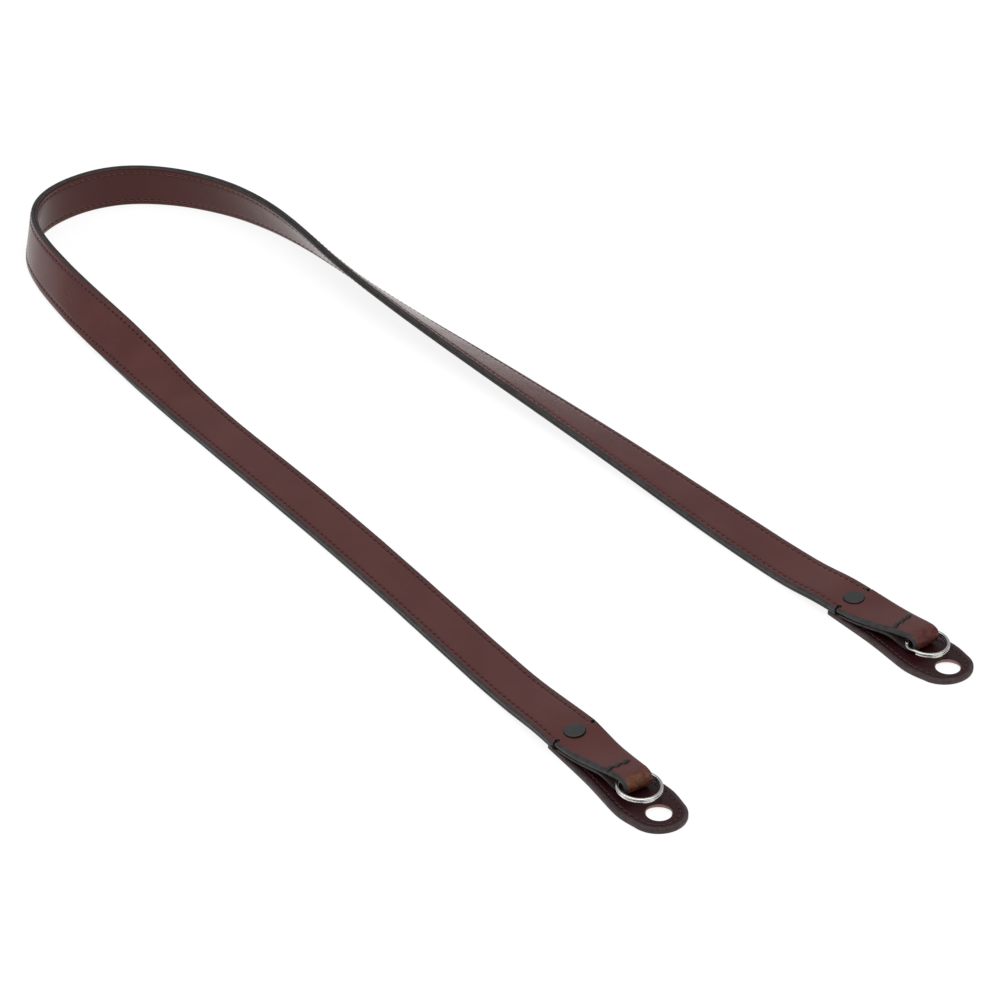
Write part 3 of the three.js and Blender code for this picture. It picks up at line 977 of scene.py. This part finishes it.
# The flap hole's wall: the leather's lighter core, painted lighter still as painted light thrown up
# from the floor
hole_core_and_light = flesh("flap_core_and_light", (0.28, 0.17, 0.15), (0.19, 0.11, 0.095))
thread_red = thread("grain_thread", (0.105, 0.020, 0.027), (0.055, 0.010, 0.014), 0.5)
thread_tan = thread("lining_thread", (0.15, 0.065, 0.038), (0.075, 0.028, 0.018), 0.55)
thread_flap = thread("flap_thread", (0.075, 0.012, 0.016), (0.035, 0.006, 0.009), 0.5)
thread_black = thread("tack_thread", (0.012, 0.010, 0.010), (0.006, 0.005, 0.005), 0.45)
steel = metal("ring_steel", (0.80, 0.79, 0.77), 0.17, 1.0, 0.08)
cap_metal = metal("snap_metal", (0.043, 0.044, 0.045), 0.42, 0.3, 0.15)
# The snap cap's wall: painted shadow and painted reflection of the maroon leather below it
cap_wall_shade = edge_paint_and_shade("snap_wall_shade", (0.008, 0.004, 0.005))


def make_outer():
    """The grain ply with both tongues."""
    left, right = (tongue_sections(ENDS[side]) for side in ("left", "right"))
    left = {key: values[::-1] for key, values in left.items()}
    run = joined(left, band_sections(PLY_MEETING, BAND_THICKNESS, OUTER_PAINT, True), right)
    thing = ply_object("outer_leather", run, False, [grain_face, flesh_brown, cut_paint_and_shade])
    cut(thing, True)
    shade(thing)
    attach(thing, "root")
    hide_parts("strap_outer")


def make_lining():
    """The lining ply, whose face looks down and into the U."""
    # Where the band lies flat, the lining's wide paint also serves as painted shade on its lower bevel
    # by the floor
    run = band_sections(0, PLY_MEETING, LINING_PAINT_AND_SHADE, False)
    thing = ply_object("lining_leather", run, True, [lining_face, flesh_brown, cut_paint_and_shade])
    cut(thing, False)
    shade(thing)
    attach(thing, "root")
    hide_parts("strap_lining")


def make_band_stitches():
    """Both rows of stitches on the grain face and on the lining's face."""
    grain_height = BAND_THICKNESS - GROOVE_DEPTH + STITCH_PROUD
    lining_height = GROOVE_DEPTH - STITCH_PROUD
    sewn = slice(UNSEWN_STATIONS, -UNSEWN_STATIONS)
    for name, height, facing, material, seed in (
        ("grain_stitches", grain_height, 1, thread_red, 11),
        ("lining_stitches", lining_height, -1, thread_tan, 23),
    ):
        rows = []
        for number, inset in enumerate((STITCH_INSET, BAND_WIDTH - STITCH_INSET)):
            path = (EDGE + ACROSS * inset + OUT * height)[sewn]
            normals = (OUT * facing)[sewn]
            row_looks = (STITCH_PITCH, STITCH_RADIUS, material, seed + number)
            rows.append(stitches(f"{name}_{number}", path, normals, *row_looks))
        thing = join(name, rows)
        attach(thing, "root")


def mirrored(outline):
    """An outline on the other side of y = 0, from its end to its start."""
    return [(x, -y) for x, y in reversed(outline)]


def flap_outline(end, inset):
    """The flap's rim moved in by a distance, with the same number of points for any inset."""
    length, breadth = end["flap_length"], end["flap_width"]
    rim = sampled(FLAP_ROWS, FLAP_COLUMNS, FLAP_STEPS)
    rim_at, rim_half = rim["along"] * length, rim["half"] * breadth
    tip, tip_half = FLAP_ROWS[-1]
    centre = FLAP_TIP_CENTRE * length
    radius = math.hypot(tip - FLAP_TIP_CENTRE, tip_half)
    reach, width = radius * length - inset, radius * breadth - inset
    angle = math.atan2(tip_half, tip - FLAP_TIP_CENTRE)
    corner = max(FLAP_CORNER - inset, SMALLEST_CORNER)
    head = rim_at[0] + inset
    along = np.linspace(head + corner, centre + reach * math.cos(angle), FLAP_SIDE_POINTS)
    slope = np.interp(along, rim_at, np.gradient(rim_half, rim_at))
    half = np.interp(along, rim_at, rim_half) - inset * np.sqrt(1 + slope**2)
    half[-1] = width * math.sin(angle)
    far = [(x, y) for x, y in zip(along[::-1], half[::-1])]
    tip_turn = np.linspace(-angle, angle, FLAP_TIP_POINTS)[1:-1]
    tip_arc = [(centre + reach * math.cos(a), width * math.sin(a)) for a in tip_turn]
    far_corner = []
    for a in np.linspace(math.pi / 2, math.pi, FLAP_CORNER_POINTS)[1:]:
        x = head + corner + corner * math.cos(a)
        far_corner.append((x, half[0] - corner + corner * math.sin(a)))
    return mirrored(far) + tip_arc + far + far_corner + mirrored(far_corner)


def flap_hole(inset):
    """The hole's outline moved out by a distance."""
    radius = FLAP_HOLE_RADIUS + inset
    return [(FLAP_HOLE_AT + radius * x, radius * y) for x, y in circle(1, FLAP_HOLE_SIDES)[::-1]]


def closed_edges(start, count):
    """Edges round a closed outline."""
    return [(start + k, start + (k + 1) % count) for k in range(count)]


def flap_fill(rim, hole):
    """Triangles between the rim's innermost loop and the hole's outermost one."""
    rim, hole = np.array(rim), np.array(hole)
    near_side = rim[: len(rim) // 2]
    centre = hole.mean(0)
    radius = np.linalg.norm(hole[0] - centre)
    grid = []
    for x in np.arange(rim[:, 0].min(), rim[:, 0].max(), FILL_PITCH):
        for y in np.arange(rim[:, 1].min(), rim[:, 1].max(), FILL_PITCH):
            point = np.array([x, y])
            inside = abs(y) < np.interp(x, near_side[:, 0], -near_side[:, 1])
            off_rim = np.linalg.norm(rim - point, axis=1).min() > FILL_OFF_RIM
            off_hole = np.linalg.norm(point - centre) > radius + FILL_OFF_HOLE
            if inside and off_rim and off_hole:
                grid.append(point)
    points = [Vector(point) for point in (*rim, *hole, *grid)]
    edges = closed_edges(0, len(rim)) + closed_edges(len(rim), len(hole))
    outer = [list(range(len(rim)))]
    flat, _, triangles, *_ = delaunay_2d_cdt(points, edges, outer, INSIDE_ONLY, FILL_CLOSENESS)
    kept = []
    for triangle in triangles:
        middle = sum((flat[k] for k in triangle), Vector((0, 0))) / 3
        if (middle - Vector(centre)).length > radius * HOLE_SHARE:
            kept.append(tuple(triangle))
    return [tuple(point) for point in flat], kept


def flap_skin(end):
    """A flap's points, faces and slots: the side, the hole's wall, then the upper and lower face."""
    points, faces, indices = [], [], []

    def add_wall(loops, section, slots):
        count = len(loops[0])
        for first, slot in zip(range(len(points), len(points) + len(slots) * count, count), slots):
            for k in range(count):
                a, b = first + k, first + (k + 1) % count
                faces.append((a, b, b + count, a + count))
                indices.append(slot)
        for loop, (_, height) in zip(loops, section):
            points.extend((x, y, height) for x, y in loop)

    def add_face(rim, hole, height, crown, up):
        flat, triangles = flap_fill(rim, hole)
        start = len(points)
        borders = len(rim) + len(hole)
        points.extend((x, y, height + (crown if k >= borders else 0)) for k, (x, y) in enumerate(flat))
        for triangle in triangles:
            a, b, c = (start + k for k in triangle)
            faces.append((a, b, c) if up else (a, c, b))
            indices.append(FACE if up else BACK)

    rims = [flap_outline(end, inset) for inset, _ in FLAP_SECTION]
    holes = [flap_hole(inset) for inset, _ in HOLE_SECTION]
    add_wall(rims, FLAP_SECTION, [FACE] * (len(rims) - 1))
    add_wall(holes, HOLE_SECTION, [FACE] + [CUT] * (len(holes) - 2))
    add_face(rims[-1], holes[0], FLAP_THICKNESS, FLAP_CROWN, True)
    add_face(rims[0], holes[-1], 0, 0, False)
    return points, faces, indices


def make_flap(side, end):
    """A protector flap with a rolled, painted rim, a crease, a stitch row and a round hole."""
    place = place_of(end, end["flap_heading"])
    points, faces, indices = flap_skin(end)
    row = np.array(flap_outline(end, FLAP_STITCH_INSET))
    row = np.vstack([row, row[:1]])
    insets = [inset for inset, _ in FLAP_SECTION]
    uv = np.tile([-1.0, PLAIN_INSET], (len(points), 1))
    on_rim = len(insets) * (len(row) - 1)
    uv[:on_rim, 0] = np.tile(lengths_along(row)[:-1], len(insets))
    uv[:on_rim, 1] = np.repeat(insets, len(row) - 1)
    # The hole's wall is the leather's core with painted light from the floor
    slots = [flap_face, flesh_brown, hole_core_and_light]
    thing = new_object(f"flap_{side}_leather", moved(points, place), faces, slots, indices)
    store_uv(thing.data, "place", uv)
    store_uv(thing.data, "finish", [(FLAP_PAINT, 0)] * len(points))
    weld(thing, WELD_DISTANCE)
    shade(thing)
    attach(thing, "root")
    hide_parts(f"flap_{side}")
    path = np.column_stack([row, np.full(len(row), FLAP_GROOVE_FLOOR + STITCH_PROUD)])
    normals = np.tile(UP, (len(row), 1))
    row_looks = (FLAP_STITCH_PITCH, FLAP_STITCH_RADIUS, thread_flap, 41)
    thread_row = stitches(f"flap_{side}_stitches", moved(path, place), normals, *row_looks)
    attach(thread_row, "root")


def tongue_top(end, along, across):
    """A point on the tongue's upper face, and the way out of it."""
    tongue = sampled(TONGUE_ROWS, TONGUE_COLUMNS, TONGUE_STEPS)
    top = slice(TONGUE_TOP_ROWS * TONGUE_STEPS)
    top_at, top_height = tongue["along"][top], tongue["height"][top]
    height = np.interp(along, top_at, top_height) + OUTER_PLY / 2
    slope = np.interp(along, top_at, np.gradient(top_height, top_at))
    place = place_of(end, end["tongue_heading"])
    out = unit(np.array([[-slope, 0, 1.0]]))
    return moved([[along, across, height]], place)[0], turned(out, place)[0]


def make_tack(side, end):
    """The bar tack across the tongue: thick black thread in a short row."""
    first, last = (np.array(point) for point in end["tack"])
    shares = np.linspace(-TACK_OVERRUN, 1 + TACK_OVERRUN, TACK_POINTS)
    places = [tongue_top(end, *(first + (last - first) * share)) for share in shares]
    path, normals = (np.array(part) for part in zip(*places))
    just_fits = 0.999
    pitch = lengths_along(path)[-1] / TACK_STITCHES * just_fits
    row_looks = (pitch, TACK_RADIUS, thread_black, 7, TACK_RISE, TACK_REACH, TACK_SLANT)
    thing = stitches(f"tack_{side}_stitches", path, normals, *row_looks)
    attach(thing, "root")


def wire_section():
    """The wire's section: out from the ring's middle, and along the ring's axis."""
    section = []
    for x, y in circle(1, WIRE_SIDES):
        out = math.copysign(abs(x) ** WIRE_ROUNDNESS, x) * WIRE_WIDTH / 2
        up = math.copysign(abs(y) ** WIRE_ROUNDNESS, y) * WIRE_THICKNESS / 2
        section.append((out, up))
    return section


def make_ring(side, end):
    """A split ring of two coils."""
    radius = RING_OUTER_RADIUS - WIRE_WIDTH / 2
    turn = 2 * math.pi
    section = wire_section()
    points = []
    for i in range(RING_STATIONS + 1):
        angle = COIL_END + (2 * turn - 2 * COIL_END) * i / RING_STATIONS
        t = min(max((angle - turn + COIL_STEP) / (2 * COIL_STEP), 0), 1)
        rise = (t * t * (3 - 2 * t) - 0.5) * COIL_PITCH
        taper = WIRE_END_TAPER if i in (0, RING_STATIONS) else 1
        for out, up in section:
            reach = radius + out * taper
            points.append((reach * math.cos(angle), reach * math.sin(angle), rise + up * taper))
    place = place_of(end, end["tongue_heading"])
    place = place @ Matrix.Translation((RING_AT, 0, RING_HEIGHT))
    place = place @ Matrix.Rotation(math.radians(RING_TILT), 4, "Y")
    place = place @ Matrix.Rotation(math.radians(end["wire_end_at"]), 4, "Z")
    faces = tube_faces(RING_STATIONS + 1, WIRE_SIDES)
    thing = new_object(f"ring_{side}_wire", moved(points, place), faces, [steel])
    weld(thing, 0)
    shade(thing, 60)
    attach(thing, "root")
    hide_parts(f"ring_{side}")


def make_snap(side, end):
    """A snap turned about its post, in one closed skin."""
    stem_place = place_of(end, end["tongue_heading"])
    cap_place = seat_of(end)
    points, faces, indices = [], [], []
    for place, rows in ((stem_place, STEM_ROWS), (cap_place, CAP_ROWS)):
        for radius, height in rows:
            ring = [(radius * x, radius * y, height) for x, y in circle(1, SNAP_SIDES)]
            points += moved(ring, place).tolist()
    last = len(points) - SNAP_SIDES
    wall = range(len(STEM_ROWS), len(STEM_ROWS) + CAP_WALL_ROWS)
    for j, first in enumerate(range(0, last, SNAP_SIDES)):
        for a, b in closed_edges(first, SNAP_SIDES):
            faces.append((a, b, b + SNAP_SIDES, a + SNAP_SIDES))
            indices.append(WALL_SLOT if j in wall else CAP_SLOT)
    bottom, top = len(points), len(points) + 1
    points += moved([(0, 0, FOOT_BASE)], stem_place).tolist()
    points += moved([(0, 0, CAP_ROWS[-1][1])], cap_place).tolist()
    faces += [(bottom, b, a) for a, b in closed_edges(0, SNAP_SIDES)]
    faces += [(top, a, b) for a, b in closed_edges(last, SNAP_SIDES)]
    indices += [CAP_SLOT] * (2 * SNAP_SIDES)
    # The cap's wall takes painted shadow and painted reflection of the leather below it
    thing = new_object(f"snap_{side}_cap", points, faces, [cap_metal, cap_wall_shade], indices)
    shade(thing, 50)
    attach(thing, "root")
    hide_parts(f"snap_{side}")


def make_floor():
    """A pale floor with a glow of its own, as the photo's background is white."""
    material, _, shader = nodes_of("floor_white")
    shader.inputs["Base Color"].default_value = (FLOOR_GREY, FLOOR_GREY, FLOOR_GREY, 1)
    shader.inputs["Emission Color"].default_value = (1, 1, 1, 1)
    shader.inputs["Emission Strength"].default_value = FLOOR_GLOW
    shader.inputs["Roughness"].default_value = 0.9
    shader.inputs["Specular IOR Level"].default_value = 0.1
    corners = np.array([(-1, -1, 0), (1, -1, 0), (1, 1, 0), (-1, 1, 0)])
    floor = new_object("floor", corners * FLOOR_HALF / MM, [(0, 1, 2, 3)], [material])


def aim(thing, at, target):
    """Puts a lamp or a camera into the scene at one place, turned to look at another."""
    thing.location = at
    thing.rotation_euler = (Vector(target) - Vector(at)).to_track_quat("-Z", "Y").to_euler()
    bpy.context.scene.collection.objects.link(thing)


def make_light():
    """Even light all round and three softboxes."""
    scene = bpy.context.scene
    scene.view_settings.view_transform = "Standard"
    scene.world = bpy.data.worlds.new("studio")
    scene.world.use_nodes = True
    sky = scene.world.node_tree.nodes["Background"]
    sky.inputs["Color"].default_value = (1, 1, 1, 1)
    sky.inputs["Strength"].default_value = SKY_STRENGTH
    for name, at, size, power in SOFTBOXES:
        light = bpy.data.lights.new(name, "AREA")
        light.shape = "SQUARE"
        light.size = size
        light.energy = power
        aim(bpy.data.objects.new(name, light), at, SOFTBOXES_FACE)


def make_camera():
    """The photograph's camera."""
    camera = bpy.data.cameras.new("camera")
    camera.lens = CAMERA_LENS
    camera.sensor_width = CAMERA_SENSOR
    camera.clip_start, camera.clip_end = CAMERA_CLIP
    eye = bpy.data.objects.new("camera", camera)
    aim(eye, CAMERA_AT, CAMERA_LOOKS_AT)
    bpy.context.scene.camera = eye


make_floor()
make_light()
make_camera()
make_outer()
make_lining()
make_band_stitches()
for side, end in ENDS.items():
    make_flap(side, end)
    make_tack(side, end)
    make_ring(side, end)
    make_snap(side, end)
